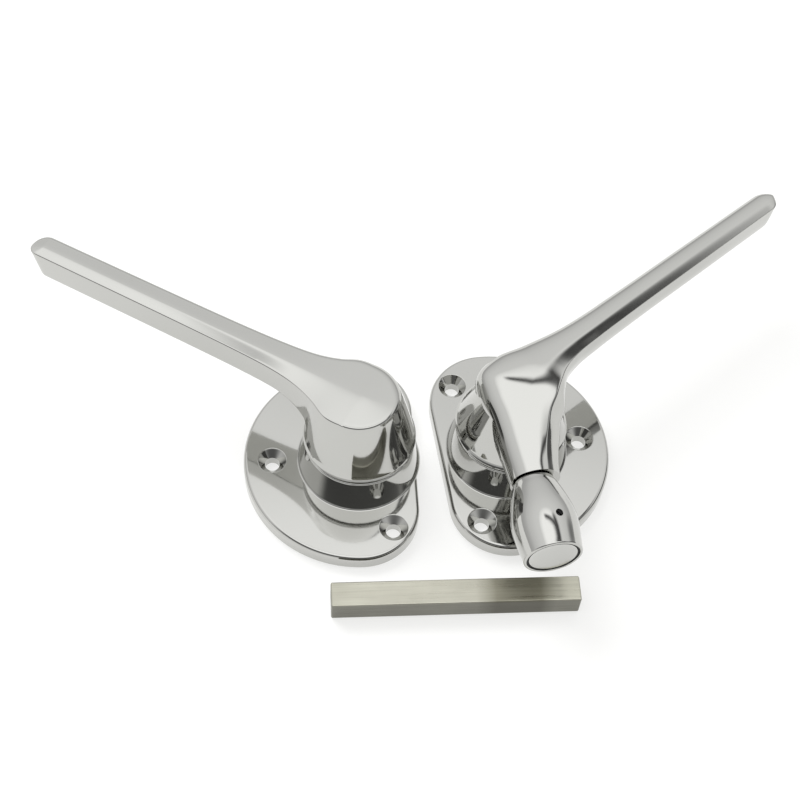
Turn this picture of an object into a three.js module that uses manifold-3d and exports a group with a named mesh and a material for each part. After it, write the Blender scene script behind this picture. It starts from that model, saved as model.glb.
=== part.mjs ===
// Door lever handle set, laid out on a table: the outside lever on its rose (left), the inside
// lever with its push-button privacy lock (right), and the loose square spindle in front.
// Millimetres, +Z up. The origin is on the table, on the outside lever's spindle axis.
import * as THREE from 'three';
import { mergeVertices } from 'three/addons/utils/BufferGeometryUtils.js';
import { ConvexGeometry } from 'three/addons/geometries/ConvexGeometry.js';
import Module from 'manifold-3d';

const wasm = await Module();
wasm.setup();

// ---------- driving dimensions ----------
const ROUND = 40;                  // facets round a turned piece
const SMALL_ROUND = 20;            // facets round a small hole or pin
const CORNER_FACETS = 10;          // facets in each arc of an outline
const EDGE_FACETS = 3;             // facets in each rounded long edge or quarter of a wire
const FIT_GAP = 0.3;               // clearance between pieces that sit on each other
const RUN_GAP = 0.1;               // radial clearance of a turning fit
const EDGE_BREAK = 0.4;            // small rounding on turned edges
const PAST = 1;                    // how far a cutting solid runs past the face it opens

const SPINDLE = 8;                 // side of the square spindle
const SPINDLE_LENGTH = 74;
const SPINDLE_CHAMFER = 0.5;       // rounding of the long edges
const SPINDLE_END_CHAMFER = 0.3;
const SOCKET = SPINDLE + 0.2;      // square hole that takes the spindle

const ROSE_RADIUS = 35.4;
const ROSE_FLAT = 17.9;            // from the screw circle's centre to the flat edge
const ROSE_CORNER = 18;            // radius where the round side runs into the flat edge
const ROSE_THICKNESS = 5.4;
const ROSE_EDGE = 1.3;             // rounding of the rose's top edge
const SCREW_CIRCLE = 26.6;         // radius of the circle through the three screw holes
const SCREW_ANGLES = [180, 69, -69];
const SCREW_HOLE = 2.3;
const SCREW_SINK = 4.2;            // radius of the countersink at the top face
const SCREW_SINK_DEPTH = 2.4;

const BOSS_RADIUS = 18.4;          // foot of the tapered collar that stands on the rose
const BOSS_TOP_RADIUS = 16.8;
const BOSS_TOP = 17.6;
const BOSS_FILLET = 0.8;
const BOSS_EDGE = 0.6;             // rounding of the collar's top edge
const CLIP_POCKET_RADIUS = 14.6;   // pocket in the rose's back for the clip and wave washer
const CLIP_POCKET_DEPTH = 4.2;
const BUSH_BORE = 12.4;            // hole in the collar for the bearing bush

const WASHER_RADIUS = 15.4;
const WASHER_THICKNESS = 0.6;
const HUB_BOTTOM = BOSS_TOP + WASHER_THICKNESS + 2 * FIT_GAP;
const TOP = 41;                    // top face of both levers
const ARM_BOTTOM = 30.6;
const ARM_LENGTH = 115;            // spindle axis to tip
const ARM_HALF_ROOT = 4.9;
const ARM_HALF_TIP = 4.3;
const ARM_CORNER = 3.4;            // corner radius of the arm's tip in plan
const TIP_SLANT = 3;               // how far the tip's end face leans back at its foot
const ARM_BEVEL = 0.7;
const HEAD_RADIUS = 12.2;          // round end of the top face over the spindle
const BLEND_START = 9;             // where the arm starts to swell, along the arm
const BLEND_END = 33;
const BLEND_POWER = 1.6;           // how quickly the swelling dies away
const BLEND_STEPS = 10;
const UNDERSIDE_START = 8;         // where the underside leaves the hub
const UNDERSIDE_END = 27;          // where the underside meets the arm
const UNDERSIDE_RISE = [6, 8];     // first handle of the underside's sweep: along and up
const UNDERSIDE_EASE = [8, 1];     // last handle: back along the arm and down

const DRUM_RADIUS = 17.4;          // lower rim of the conical hubs
const DRUM_SHOULDER = 15;          // the cone's radius where it turns in to the top face
const DRUM_BEAD = 1.2;             // height of the straight band at the rim
const SHOULDER_DROP = 5;           // shoulder's depth below the top face
const SHOULDER_RISE = 2.6;         // how far the rounding climbs from the shoulder
const HEAD_DIP = 0.2;              // the turned hubs end this far under the arm's top face
const SPIGOT_RADIUS = 9.3;         // journal below the outside hub
const SPIGOT_BOTTOM = 1;
const INSIDE_SPIGOT_BOTTOM = 1.4;
const SOCKET_TOP = 34;

const SLEEVE_ROOM = 8.6;           // bore in the inside lever that the lock sleeve stands in
const GROOVE_REACH = 5;            // the clip groove's tool stands out this far
const ARM_ROOT_DEPTH = 3;          // the inside arm's root reaches this far below the arm
const INSIDE_SPIGOT_RADIUS = 10.4;
const INSIDE_SOCKET_BOTTOM = 31.6;
const INSIDE_SOCKET_TOP = 38.6;

const CLIP_THICKNESS = 1;
const CLIP_Z = 1.4;
const INSIDE_CLIP_Z = 2;
const CLIP_DEPTH = 0.7;            // depth of the clip's groove in the spigot
const CLIP_REACH = 2;              // how far the clip stands out of the spigot
const WAVE_Z = 3.5;
const WAVE_THICKNESS = 0.3;
const WAVE_HEIGHT = 0.2;
const WAVE_COUNT = 3;
const CLIP_GAP = 5;                // width of the clip's opening

const GRUB_RADIUS = 2.5;
const GRUB_LENGTH = 6;
const GRUB_START = SPINDLE / 2 + 2 * FIT_GAP;  // the screw's point, from the spindle axis
const GRUB_Z = 24;
const GRUB_ANGLE = -75;            // the set screw is on the hub's far side, measured from the arm
const INSIDE_GRUB_Z = 35;
const INSIDE_GRUB_ANGLE = 80;
const HEX_SIDES = 6;
const HEX_RADIUS = 1.4;
const HEX_DEPTH = 2.2;

const LOCK_AXIS_Z = 27;
const LOCK_ANGLE = -119.5;         // lock barrel's direction, measured from the inside arm
const SLEEVE_OUTER = 8.4;          // fixed sleeve that the lock pin engages
const SLEEVE_INNER = 5.9;
const SLEEVE_BOTTOM = 0.1;
const SLEEVE_TOP = 31.2;
const SLEEVE_HOLES = 8;
const SLEEVE_HOLE_RADIUS = 2.3;
const FLANGE_RADIUS = CLIP_POCKET_RADIUS - FIT_GAP;
const FLANGE_THICKNESS = 0.8;
const HORN_RADIUS = 6.9;
const HORN_END = 25.4;
const HORN_BORE = 4.6;
const HORN_ROOT = 11;              // radius under the head that the horn runs out of
const HORN_DIP = 0.6;              // depth of the horn's root below the top face
const HORN_FOOT = 10.8;            // radius of the horn's root on the hub
const HORN_STEP = 1.4;             // the horn's end stands out beyond the barrel on one side
const GUIDE_END = 12.5;
const BARREL_START = HORN_END + 0.4;
const BARREL_END = 50.8;
const BARREL_WAIST = 0.2;          // where the flare eases, as a share of the barrel's length
const BARREL_WAIST_RADIUS = 8;
const BARREL_BELLY = 0.48;         // where the barrel is widest
const BARREL_BELLY_RADIUS = 9.7;
const BARREL_START_RADIUS = 6.3;
const BARREL_END_RADIUS = 8.8;
const BARREL_RIM = 0.5;
const BUTTON_RADIUS = 7.3;
const BUTTON_THICKNESS = 2.6;
const BUTTON_END = 50.6;
const BUTTON_TRAVEL = 2.6;
const BUTTON_POCKET_RADIUS = 7.9;
const SEAL_INNER = 7.45;
const SEAL_OUTER = 7.8;
const SEAL_DEPTH = 2;
const PIN_TIP = 8.9;
const PIN_RADIUS = 2;
const PIN_COLLAR_RADIUS = 4.2;
const PIN_COLLAR_START = 22.5;
const PIN_COLLAR_END = 24.2;
const PIN_STEM_RADIUS = 2.6;
const PIN_LAP = 0.5;               // how far the pin's turned lengths run into its collar
const BUTTON_EDGE = 0.3;
const BUTTON_POCKET_FLOOR = 1;     // room behind the button at the end of its travel
const SEAL_INSET = 0.1;
const SPRING_RADIUS = 3.2;
const SPRING_WIRE = 0.45;
const SPRING_START = 13.3;
const SPRING_END = 21.8;
const SPRING_TURNS = 5;
const SPRING_STEPS = 14;           // sections in each turn
const CROSS_PIN_RADIUS = 1;
const CROSS_PIN_FROM_AXIS = 41.5;
const CROSS_PIN_LEAN = 17;         // degrees from straight up
const CROSS_PIN_FLOOR = 6.4;
const CROSS_PIN_LENGTH = 1.7;
const CROSS_PIN_GAP = 0.15;
const HOLE_FACETS = 12;            // facets round the smallest holes

const OUTSIDE_ROSE_TURN = 8;       // how the pieces lie on the table, degrees
const OUTSIDE_ARM_TURN = 156.8;
const INSIDE_ROSE_TURN = 194;
const INSIDE_ARM_TURN = 45;
const INSIDE_AXIS = [45.7, 8.8];
const INSIDE_BOSS_OFFSET = -3;     // spindle axis to screw circle's centre, along the rose
const OUTSIDE_ARM_OFFSET = -0.6;   // the arms leave their heads off centre
const INSIDE_ARM_OFFSET = 2.7;
const SPINDLE_PLACE = [33, -44];
const SPINDLE_TURN = 7.5;

// ---------- materials ----------
const COLOURS = {
  polished: { color: '#c9c8c2', roughness: 0.08, metalness: 1 },
  brushed: { color: '#bdbbae', roughness: 0.38, metalness: 1 },
  spring_steel: { color: '#8d8f90', roughness: 0.35, metalness: 1 },
  dark_steel: { color: '#2d2e30', roughness: 0.45, metalness: 1 },
  brass: { color: '#b3924e', roughness: 0.3, metalness: 1 },
  nylon: { color: '#e6e3d8', roughness: 0.6, metalness: 0 },
  rubber: { color: '#1c1c1d', roughness: 0.8, metalness: 0 },
};

function material(name) {
  return new THREE.MeshStandardMaterial(COLOURS[name]);
}

// ---------- solids ----------
function signedVolume(positions, triangles) {
  const a = new THREE.Vector3();
  const b = new THREE.Vector3();
  const c = new THREE.Vector3();
  let sum = 0;
  for (let i = 0; i < triangles.length; i += 3) {
    a.fromArray(positions, 3 * triangles[i]);
    b.fromArray(positions, 3 * triangles[i + 1]);
    c.fromArray(positions, 3 * triangles[i + 2]);
    sum += a.dot(b.cross(c)) / 6;
  }
  return sum;
}

// A closed three.js geometry as a solid: shared vertices merged, empty triangles dropped,
// faces turned outwards.
function solid(geometry) {
  const bare = geometry.clone();
  for (const name of Object.keys(bare.attributes)) {
    if (name !== 'position') bare.deleteAttribute(name);
  }
  const merged = mergeVertices(bare, 1e-4);
  const index = merged.index.array;
  const positions = new Float32Array(merged.attributes.position.array);
  const triangles = [];
  for (let i = 0; i < index.length; i += 3) {
    const [a, b, c] = [index[i], index[i + 1], index[i + 2]];
    if (a !== b && b !== c && c !== a) triangles.push(a, b, c);
  }
  if (signedVolume(positions, triangles) < 0) triangles.reverse();
  return new wasm.Manifold(new wasm.Mesh({
    numProp: 3,
    vertProperties: positions,
    triVerts: new Uint32Array(triangles),
  }));
}

function toGeometry(body) {
  const mesh = body.getMesh();
  const geometry = new THREE.BufferGeometry();
  geometry.setAttribute('position', new THREE.BufferAttribute(new Float32Array(mesh.vertProperties), 3));
  geometry.setIndex(new THREE.BufferAttribute(new Uint32Array(mesh.triVerts), 1));
  geometry.computeVertexNormals();
  return geometry;
}

function join(first, ...others) {
  return others.reduce((sum, body) => sum.add(body), first);
}

function cut(first, ...others) {
  return others.reduce((sum, body) => sum.subtract(body), first);
}

// Turned piece about Z from a closed [radius, height] profile.
function turned(profile, segments = ROUND) {
  const points = profile.map(([r, z]) => new THREE.Vector2(r, z));
  points.push(points[0].clone());
  return solid(new THREE.LatheGeometry(points, segments).rotateX(Math.PI / 2));
}

function ring(inner, outer, bottom, top, segments = ROUND) {
  return turned([[inner, bottom], [outer, bottom], [outer, top], [inner, top]], segments);
}

function rod(radius, bottom, top, segments = ROUND) {
  const geometry = new THREE.CylinderGeometry(radius, radius, top - bottom, segments);
  return solid(geometry.rotateX(Math.PI / 2).translate(0, 0, (bottom + top) / 2));
}

function cone(bottomRadius, topRadius, bottom, top, segments = ROUND) {
  const geometry = new THREE.CylinderGeometry(topRadius, bottomRadius, top - bottom, segments);
  return solid(geometry.rotateX(Math.PI / 2).translate(0, 0, (bottom + top) / 2));
}

function block(width, depth, bottom, top) {
  const geometry = new THREE.BoxGeometry(width, depth, top - bottom);
  return solid(geometry.translate(0, 0, (bottom + top) / 2));
}

// Lays a solid that was made about Z along a level direction at a height.
function laid(body, degrees, height) {
  return body.rotate([0, 90, 0]).rotate([0, 0, degrees]).translate([0, 0, height]);
}

function extruded(shape, bottom, top, bevel = 0) {
  const geometry = new THREE.ExtrudeGeometry(shape, {
    depth: top - bottom - 2 * bevel,
    bevelEnabled: bevel > 0,
    bevelThickness: bevel,
    bevelSize: bevel,
    bevelOffset: -bevel,
    bevelSegments: 2,
    curveSegments: CORNER_FACETS,
  });
  return solid(geometry.translate(0, 0, bottom + bevel));
}

// ---------- rose ----------
// Round plate with one flat edge; the corners between them are arcs that touch both.
function roseShape() {
  const shape = new THREE.Shape();
  const cornerX = ROSE_FLAT - ROSE_CORNER;
  const cornerY = Math.sqrt((ROSE_RADIUS - ROSE_CORNER) ** 2 - cornerX ** 2);
  const meet = Math.atan2(cornerY, cornerX);
  shape.absarc(0, 0, ROSE_RADIUS, meet, 2 * Math.PI - meet, false);
  shape.absarc(cornerX, -cornerY, ROSE_CORNER, -meet, 0, false);
  shape.absarc(cornerX, cornerY, ROSE_CORNER, 0, meet, false);
  return shape;
}

function screwHole(degrees) {
  const angle = THREE.MathUtils.degToRad(degrees);
  const place = [SCREW_CIRCLE * Math.cos(angle), SCREW_CIRCLE * Math.sin(angle), 0];
  const shaft = rod(SCREW_HOLE, -PAST, ROSE_THICKNESS + PAST, SMALL_ROUND);
  const grow = (PAST * (SCREW_SINK - SCREW_HOLE)) / SCREW_SINK_DEPTH;
  const sinkBottom = ROSE_THICKNESS - SCREW_SINK_DEPTH;
  const sink = cone(SCREW_HOLE, SCREW_SINK + grow, sinkBottom, ROSE_THICKNESS + PAST, SMALL_ROUND);
  return shaft.add(sink).translate(place);
}

function bossProfile() {
  const base = ROSE_THICKNESS;
  const foot = BOSS_RADIUS + BOSS_FILLET;
  const middle = BOSS_FILLET * (1 - Math.SQRT1_2);
  return [
    [0, base / 2], [foot, base / 2], [foot, base],
    [BOSS_RADIUS + middle, base + middle], [BOSS_RADIUS, base + BOSS_FILLET],
    [BOSS_TOP_RADIUS, BOSS_TOP - BOSS_EDGE], [BOSS_TOP_RADIUS - BOSS_EDGE, BOSS_TOP], [0, BOSS_TOP],
  ];
}

// The plate's outline is centred on its screw circle; the collar stands on the spindle axis.
function rose(bossOffset) {
  const plate = extruded(roseShape(), -ROSE_EDGE, ROSE_THICKNESS, ROSE_EDGE);
  const table = block(4 * ROSE_RADIUS, 4 * ROSE_RADIUS, -3 * ROSE_EDGE, 0);
  const holes = SCREW_ANGLES.map(screwHole);
  const boss = turned(bossProfile()).translate([bossOffset, 0, 0]);
  const bore = rod(BUSH_BORE, -PAST, BOSS_TOP + PAST).translate([bossOffset, 0, 0]);
  const pocket = rod(CLIP_POCKET_RADIUS, -PAST, CLIP_POCKET_DEPTH).translate([bossOffset, 0, 0]);
  const body = cut(join(plate, boss), table, bore, pocket, ...holes);
  return body.translate([-bossOffset, 0, 0]);
}

// ---------- levers ----------
// Half width of the top face along the arm: the head's circle eases into the straight arm.
function armHalfWidth(along) {
  const share = THREE.MathUtils.smoothstep(along, BLEND_START, BLEND_END);
  const swell = Math.sqrt(HEAD_RADIUS ** 2 - BLEND_START ** 2);
  const taper = ARM_HALF_ROOT + (ARM_HALF_TIP - ARM_HALF_ROOT) * (along / ARM_LENGTH);
  return taper + (swell - ARM_HALF_ROOT) * (1 - share) ** BLEND_POWER;
}

function topOutline(offset) {
  const edge = [];
  for (let i = 0; i <= BLEND_STEPS; i += 1) {
    const along = BLEND_START + ((BLEND_END - BLEND_START) * i) / BLEND_STEPS;
    edge.push([along, armHalfWidth(along), THREE.MathUtils.smoothstep(along, -HEAD_RADIUS, BLEND_END)]);
  }
  const tipHalf = armHalfWidth(ARM_LENGTH);
  const corner = ARM_LENGTH - ARM_CORNER;
  const start = Math.atan2(edge[0][1], edge[0][0]);
  const shape = new THREE.Shape();
  shape.absarc(0, 0, HEAD_RADIUS, start, 2 * Math.PI - start, false);
  for (const [along, half, share] of edge) shape.lineTo(along, -half + offset * share);
  shape.lineTo(corner, -tipHalf + offset);
  shape.absarc(corner, offset - tipHalf + ARM_CORNER, ARM_CORNER, -Math.PI / 2, 0, false);
  shape.absarc(corner, offset + tipHalf - ARM_CORNER, ARM_CORNER, 0, Math.PI / 2, false);
  for (const [along, half, share] of edge.reverse()) shape.lineTo(along, half + offset * share);
  return shape;
}

// Side view of the arm: level top, underside that sweeps down into the hub.
function sideShape(bottom) {
  const shape = new THREE.Shape();
  shape.moveTo(-2 * HEAD_RADIUS, bottom);
  shape.lineTo(UNDERSIDE_START, bottom);
  shape.bezierCurveTo(
    UNDERSIDE_START + UNDERSIDE_RISE[0], bottom + UNDERSIDE_RISE[1],
    UNDERSIDE_END - UNDERSIDE_EASE[0], ARM_BOTTOM - UNDERSIDE_EASE[1],
    UNDERSIDE_END, ARM_BOTTOM,
  );
  shape.lineTo(ARM_LENGTH - TIP_SLANT, ARM_BOTTOM);
  shape.lineTo(ARM_LENGTH, TOP - ARM_BEVEL);
  shape.lineTo(ARM_LENGTH + PAST, TOP + PAST);
  shape.lineTo(-2 * HEAD_RADIUS, TOP + PAST);
  return shape;
}

function armSolid(bottom, offset) {
  const plan = extruded(topOutline(offset), bottom, TOP, ARM_BEVEL);
  const width = 4 * HEAD_RADIUS;
  const side = extruded(sideShape(bottom), 0, width).translate([0, 0, -width / 2]);
  return plan.intersect(side.rotate([90, 0, 0]));
}

function grubHole(height, degrees) {
  return laid(rod(GRUB_RADIUS + FIT_GAP, 0, 3 * HEAD_RADIUS, SMALL_ROUND), degrees, height);
}

function clipGroove(spigotRadius, clipBottom) {
  return ring(
    spigotRadius - CLIP_DEPTH - FIT_GAP, spigotRadius + GROOVE_REACH,
    clipBottom - FIT_GAP, clipBottom + CLIP_THICKNESS + FIT_GAP,
  );
}

// Conical hub: it widens downwards to a beaded rim.
function hub() {
  const shoulder = TOP - SHOULDER_DROP;
  return turned([
    [0, HUB_BOTTOM], [DRUM_RADIUS - EDGE_BREAK, HUB_BOTTOM], [DRUM_RADIUS, HUB_BOTTOM + EDGE_BREAK],
    [DRUM_RADIUS, HUB_BOTTOM + DRUM_BEAD], [DRUM_SHOULDER, shoulder],
    [DRUM_SHOULDER - ARM_BEVEL, shoulder + SHOULDER_RISE],
    [HEAD_RADIUS + ARM_BEVEL, TOP - ARM_BEVEL], [HEAD_RADIUS - ARM_BEVEL, TOP - HEAD_DIP],
    [0, TOP - HEAD_DIP],
  ]);
}

function outsideLever() {
  const spigot = rod(SPIGOT_RADIUS, SPIGOT_BOTTOM, HUB_BOTTOM + PAST);
  const groove = clipGroove(SPIGOT_RADIUS, CLIP_Z);
  const socket = block(SOCKET, SOCKET, 0, SOCKET_TOP);
  const body = join(armSolid(HUB_BOTTOM + DRUM_BEAD, OUTSIDE_ARM_OFFSET), hub(), spigot);
  return cut(body, groove, socket, grubHole(GRUB_Z, GRUB_ANGLE));
}

// The horn carries the lock barrel: one smooth form from the head down to the barrel's seam.
function horn() {
  const points = [];
  for (let i = 0; i < ROUND; i += 1) {
    const angle = (2 * Math.PI * i) / ROUND;
    const cos = Math.cos(angle);
    const sin = Math.sin(angle);
    const side = HORN_RADIUS * cos + HORN_STEP * Math.max(cos, 0);
    points.push(new THREE.Vector3(HORN_END, side, LOCK_AXIS_Z + HORN_RADIUS * sin));
    points.push(new THREE.Vector3(HORN_ROOT * cos, HORN_ROOT * sin, TOP - HORN_DIP));
    points.push(new THREE.Vector3(HORN_FOOT * cos, HORN_FOOT * sin, LOCK_AXIS_Z - HORN_RADIUS));
  }
  return solid(new ConvexGeometry(points)).rotate([0, 0, LOCK_ANGLE]);
}

function insideLever() {
  const spigot = rod(INSIDE_SPIGOT_RADIUS, INSIDE_SPIGOT_BOTTOM, HUB_BOTTOM + PAST);
  const groove = clipGroove(INSIDE_SPIGOT_RADIUS, INSIDE_CLIP_Z);
  const sleeveRoom = rod(SLEEVE_ROOM, 0, INSIDE_SOCKET_BOTTOM);
  const socket = block(SOCKET, SOCKET, INSIDE_SOCKET_BOTTOM - PAST, INSIDE_SOCKET_TOP);
  const guide = laid(rod(PIN_RADIUS + RUN_GAP, 0, GUIDE_END + PAST, SMALL_ROUND), LOCK_ANGLE, LOCK_AXIS_Z);
  const bore = laid(rod(HORN_BORE, GUIDE_END, HORN_END + PAST, SMALL_ROUND), LOCK_ANGLE, LOCK_AXIS_Z);
  const body = join(armSolid(ARM_BOTTOM - ARM_ROOT_DEPTH, INSIDE_ARM_OFFSET), hub(), spigot, horn());
  return cut(body, groove, sleeveRoom, socket, guide, bore, grubHole(INSIDE_GRUB_Z, INSIDE_GRUB_ANGLE));
}

// ---------- bearings and fasteners ----------
function bush(inner) {
  return ring(inner, BUSH_BORE - FIT_GAP, CLIP_POCKET_DEPTH + FIT_GAP, BOSS_TOP - FIT_GAP);
}

function thrustWasher(inner) {
  const bottom = BOSS_TOP + FIT_GAP;
  return ring(inner, WASHER_RADIUS, bottom, bottom + WASHER_THICKNESS);
}

// Thin spring ring whose height waves three times round its circle.
function waveWasher(inner) {
  const outer = CLIP_POCKET_RADIUS - FIT_GAP;
  const profile = [[inner, 0], [outer, 0], [outer, WAVE_THICKNESS], [inner, WAVE_THICKNESS], [inner, 0]];
  const points = profile.map(([r, z]) => new THREE.Vector2(r, z));
  const geometry = new THREE.LatheGeometry(points, ROUND).rotateX(Math.PI / 2);
  const position = geometry.attributes.position;
  for (let i = 0; i < position.count; i += 1) {
    const angle = Math.atan2(position.getY(i), position.getX(i));
    const lift = WAVE_HEIGHT * Math.cos(WAVE_COUNT * angle);
    position.setZ(i, position.getZ(i) + WAVE_Z + lift);
  }
  return solid(geometry);
}

// Open retaining ring; its gap faces the arm.
function circlip(spigotRadius, bottom) {
  const inner = spigotRadius - CLIP_DEPTH;
  const outer = spigotRadius + CLIP_REACH;
  const full = ring(inner, outer, bottom, bottom + CLIP_THICKNESS);
  const gap = block(2 * outer, CLIP_GAP, bottom - PAST, bottom + CLIP_THICKNESS + PAST);
  return full.subtract(gap.translate([outer, 0, 0]));
}

function grubScrew(start) {
  const body = rod(GRUB_RADIUS, start, start + GRUB_LENGTH, SMALL_ROUND);
  const hex = rod(HEX_RADIUS, start + GRUB_LENGTH - HEX_DEPTH, start + GRUB_LENGTH + PAST, HEX_SIDES);
  return body.subtract(hex);
}

// ---------- lock ----------
function lockSleeve() {
  const tube = ring(SLEEVE_INNER, SLEEVE_OUTER, SLEEVE_BOTTOM, SLEEVE_TOP);
  const flange = ring(SLEEVE_INNER, FLANGE_RADIUS, SLEEVE_BOTTOM, SLEEVE_BOTTOM + FLANGE_THICKNESS);
  const holes = [];
  for (let i = 0; i < SLEEVE_HOLES; i += 1) {
    const hole = rod(SLEEVE_HOLE_RADIUS, 0, 2 * SLEEVE_OUTER, HOLE_FACETS);
    holes.push(laid(hole, (360 / SLEEVE_HOLES) * i, LOCK_AXIS_Z));
  }
  return cut(join(tube, flange), ...holes);
}

// A rod that leaves the barrel's axis sideways, leaning away from straight up.
function acrossBarrel(radius, from, to) {
  const upright = rod(radius, from, to, HOLE_FACETS).rotate([0, -90, 0]);
  return upright.translate([0, 0, CROSS_PIN_FROM_AXIS]).rotate([0, 0, -CROSS_PIN_LEAN]);
}

function lockBarrel() {
  const length = BARREL_END - BARREL_START;
  const body = turned([
    [0, BARREL_START], [BARREL_START_RADIUS - EDGE_BREAK, BARREL_START],
    [BARREL_START_RADIUS, BARREL_START + EDGE_BREAK],
    [BARREL_WAIST_RADIUS, BARREL_START + BARREL_WAIST * length],
    [BARREL_BELLY_RADIUS, BARREL_START + BARREL_BELLY * length],
    [BARREL_END_RADIUS, BARREL_END - BARREL_RIM], [BARREL_END_RADIUS - BARREL_RIM, BARREL_END],
    [0, BARREL_END],
  ]);
  const bore = rod(HORN_BORE, BARREL_START - PAST, BARREL_END);
  const floor = BUTTON_END - BUTTON_THICKNESS - BUTTON_TRAVEL - BUTTON_POCKET_FLOOR;
  const pocket = rod(BUTTON_POCKET_RADIUS, floor, BARREL_END + PAST);
  const crossRadius = CROSS_PIN_RADIUS + CROSS_PIN_GAP;
  const crossHole = acrossBarrel(crossRadius, CROSS_PIN_FLOOR - FIT_GAP, 2 * BARREL_END_RADIUS);
  return cut(body, bore, pocket, crossHole);
}

function crossPin() {
  return acrossBarrel(CROSS_PIN_RADIUS, CROSS_PIN_FLOOR, CROSS_PIN_FLOOR + CROSS_PIN_LENGTH);
}

function lockPin() {
  const tip = rod(PIN_RADIUS, PIN_TIP, PIN_COLLAR_START + PIN_LAP, SMALL_ROUND);
  const collar = rod(PIN_COLLAR_RADIUS, PIN_COLLAR_START, PIN_COLLAR_END, SMALL_ROUND);
  const stemEnd = BUTTON_END - BUTTON_THICKNESS - FIT_GAP;
  const stem = rod(PIN_STEM_RADIUS, PIN_COLLAR_END - PIN_LAP, stemEnd, SMALL_ROUND);
  return join(tip, collar, stem);
}

function lockButton() {
  const start = BUTTON_END - BUTTON_THICKNESS;
  return turned([
    [0, start], [BUTTON_RADIUS, start], [BUTTON_RADIUS, BUTTON_END - BUTTON_EDGE],
    [BUTTON_RADIUS - BUTTON_EDGE, BUTTON_END], [0, BUTTON_END],
  ]);
}

function sealRing() {
  return ring(SEAL_INNER, SEAL_OUTER, BUTTON_END - SEAL_DEPTH, BUTTON_END - SEAL_INSET);
}

class Helix extends THREE.Curve {
  getPoint(t, target = new THREE.Vector3()) {
    const angle = 2 * Math.PI * SPRING_TURNS * t;
    const along = SPRING_START + SPRING_WIRE + (SPRING_END - SPRING_START - 2 * SPRING_WIRE) * t;
    return target.set(SPRING_RADIUS * Math.cos(angle), SPRING_RADIUS * Math.sin(angle), along);
  }
}

function lockSpring() {
  const wire = new THREE.Shape();
  wire.absarc(0, 0, SPRING_WIRE, 0, 2 * Math.PI, false);
  const steps = SPRING_TURNS * SPRING_STEPS;
  const geometry = new THREE.ExtrudeGeometry(wire, {
    steps, extrudePath: new Helix(), bevelEnabled: false, curveSegments: EDGE_FACETS,
  });
  return solid(geometry);
}

// ---------- spindle ----------
function squareSpindle() {
  const half = SPINDLE / 2 - SPINDLE_CHAMFER;
  const shape = new THREE.Shape();
  const corners = [[1, 1], [-1, 1], [-1, -1], [1, -1]];
  corners.forEach(([sx, sy], i) => {
    const start = (Math.PI / 2) * i;
    shape.absarc(sx * half, sy * half, SPINDLE_CHAMFER, start, start + Math.PI / 2, false);
  });
  const geometry = new THREE.ExtrudeGeometry(shape, {
    depth: SPINDLE_LENGTH - 2 * SPINDLE_END_CHAMFER,
    bevelEnabled: true,
    bevelThickness: SPINDLE_END_CHAMFER,
    bevelSize: SPINDLE_END_CHAMFER,
    bevelOffset: -SPINDLE_END_CHAMFER,
    bevelSegments: 1,
    curveSegments: EDGE_FACETS,
  });
  return solid(geometry.translate(0, 0, SPINDLE_END_CHAMFER - SPINDLE_LENGTH / 2));
}

// ---------- the set ----------
function mesh(name, body, look) {
  const piece = new THREE.Mesh(toGeometry(body), material(look));
  piece.name = name;
  return piece;
}

function turnedGroup(degrees, ...children) {
  const group = new THREE.Group();
  group.rotation.z = THREE.MathUtils.degToRad(degrees);
  group.add(...children);
  return group;
}

const root = new THREE.Group();

const outside = new THREE.Group();
outside.add(turnedGroup(
  OUTSIDE_ROSE_TURN,
  mesh('outside_rose', rose(0), 'polished'),
  mesh('outside_bush', bush(SPIGOT_RADIUS + RUN_GAP), 'brass'),
  mesh('outside_thrust_washer', thrustWasher(SPIGOT_RADIUS + FIT_GAP), 'nylon'),
  mesh('outside_wave_washer', waveWasher(SPIGOT_RADIUS + FIT_GAP), 'spring_steel'),
));
outside.add(turnedGroup(
  OUTSIDE_ARM_TURN,
  mesh('outside_lever', outsideLever(), 'polished'),
  mesh('outside_circlip', circlip(SPIGOT_RADIUS, CLIP_Z), 'dark_steel'),
  mesh('outside_grub_screw', laid(grubScrew(GRUB_START), GRUB_ANGLE, GRUB_Z), 'dark_steel'),
));
root.add(outside);

const inside = new THREE.Group();
inside.position.set(INSIDE_AXIS[0], INSIDE_AXIS[1], 0);
inside.add(turnedGroup(
  INSIDE_ROSE_TURN,
  mesh('inside_rose', rose(INSIDE_BOSS_OFFSET), 'polished'),
  mesh('inside_bush', bush(INSIDE_SPIGOT_RADIUS + RUN_GAP), 'brass'),
  mesh('inside_thrust_washer', thrustWasher(INSIDE_SPIGOT_RADIUS + FIT_GAP), 'nylon'),
  mesh('inside_wave_washer', waveWasher(INSIDE_SPIGOT_RADIUS + FIT_GAP), 'spring_steel'),
));
inside.add(turnedGroup(
  INSIDE_ARM_TURN,
  mesh('inside_lever', insideLever(), 'polished'),
  mesh('inside_circlip', circlip(INSIDE_SPIGOT_RADIUS, INSIDE_CLIP_Z), 'dark_steel'),
  mesh('inside_grub_screw', laid(grubScrew(GRUB_START), INSIDE_GRUB_ANGLE, INSIDE_GRUB_Z), 'dark_steel'),
  turnedGroup(LOCK_ANGLE, mesh('inside_lock_sleeve', lockSleeve(), 'brass')),
));

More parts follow.
